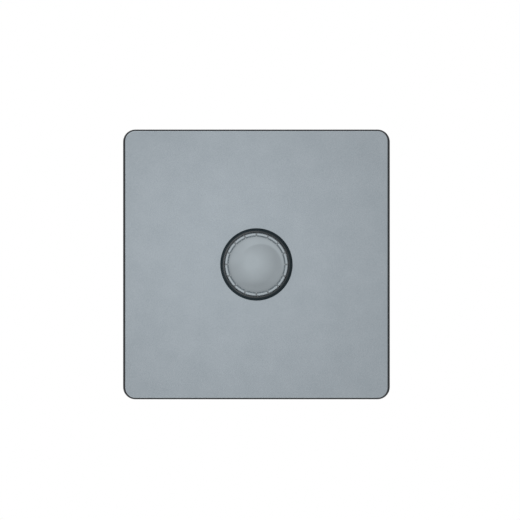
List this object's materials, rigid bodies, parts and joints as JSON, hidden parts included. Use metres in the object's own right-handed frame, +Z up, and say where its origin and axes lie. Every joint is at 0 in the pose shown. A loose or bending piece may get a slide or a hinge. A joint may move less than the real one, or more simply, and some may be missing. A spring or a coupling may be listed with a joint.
{
  "type": "rotary dimmer switch plate",
  "caption": "Flat square wall plate in satin steel with a dark surround and a central push-and-turn dimmer knob, its module, strap, screws and terminals behind.",
  "frame": {"origin": "centre of the plate on the wall's face, midway between the two fixing screws", "axes": "+X to the right seen from the room, +Y into the wall along the knob's axis, +Z up"},
  "size_m": [0.087, 0.0429, 0.088],
  "materials": {
    "satin_steel": "satin, fine blasted grain",
    "black_plastic": "fine moulded texture",
    "zinc_steel": "zinc plated",
    "screw_steel": "nickel plated",
    "nickel_brass": "nickel plated",
    "heat_sink_aluminium": "mill finish",
    "housing_plastic": "fine spark texture",
    "knob_metal": "satin, turned",
    "spring_steel": "bright",
    "spindle_aluminium": "turned",
    "brown_laminate": "pressed laminate",
    "tinned_brass": "tinned",
    "ivory_plastic": "moulded",
    "brass": "machined",
    "green_laminate": "lacquered",
    "ferrite": "sintered",
    "copper": "enamelled wire",
    "component_red": "dipped",
    "component_tan": "dipped",
    "pad_grey": "soft"
  },
  "bodies": {
    "base": {"front_plate": "satin_steel", "backing_frame": "black_plastic", "collar": "black_plastic", "mounting_grid": "zinc_steel", "fixing_screws": "screw_steel", "spindle_bush": "nickel_brass", "lock_washer": "zinc_steel", "bush_nut": "nickel_brass", "heat_sink": "heat_sink_aluminium", "housing": "housing_plastic", "housing_screws": "screw_steel", "pot_case": "zinc_steel", "track_disc": "brown_laminate", "pot_pins": "tinned_brass", "switch_case": "housing_plastic", "fixed_contacts": "tinned_brass", "return_spring": "spring_steel", "circuit_board": "green_laminate", "terminals": "brass", "terminal_screws": "screw_steel", "earth_terminal": "brass", "earth_screw": "screw_steel", "choke_core": "ferrite", "choke_winding": "copper", "capacitor": "component_red", "resistors": "component_tan", "fuse": "component_tan", "triac": "housing_plastic", "insulating_pad": "pad_grey", "triac_screw": "screw_steel"},
    "plunger": {"switch_plunger": "ivory_plastic", "moving_contact": "brass"},
    "knob": {"knob_cap": "knob_metal", "knob_core": "black_plastic", "knob_spring": "spring_steel", "spindle": "spindle_aluminium", "retaining_ring": "spring_steel"},
    "rotor": {"wiper_rotor": "ivory_plastic", "wiper_contact": "brass"}
  },
  "joints": [
    {"name": "knob_push", "type": "slide", "parent": "base", "child": "plunger", "axis": [0, 1, 0], "range_m": [0, 0.0018], "stiffness_N_per_m": 1500, "springref_m": -0.002, "deforming": ["return_spring"]},
    {"name": "knob_turn", "type": "hinge", "parent": "plunger", "child": "knob", "pos_m": [0, 0, 0], "axis": [0, 1, 0], "range_deg": [-150, 150]},
    {"name": "rotor_turn", "type": "hinge", "parent": "base", "child": "rotor", "pos_m": [0, 0, 0], "axis": [0, 1, 0], "range_deg": [-150, 150]}
  ],
  "couplings": [
    {"joint": "rotor_turn", "follows": "knob_turn", "ratio": 1}
  ]
}
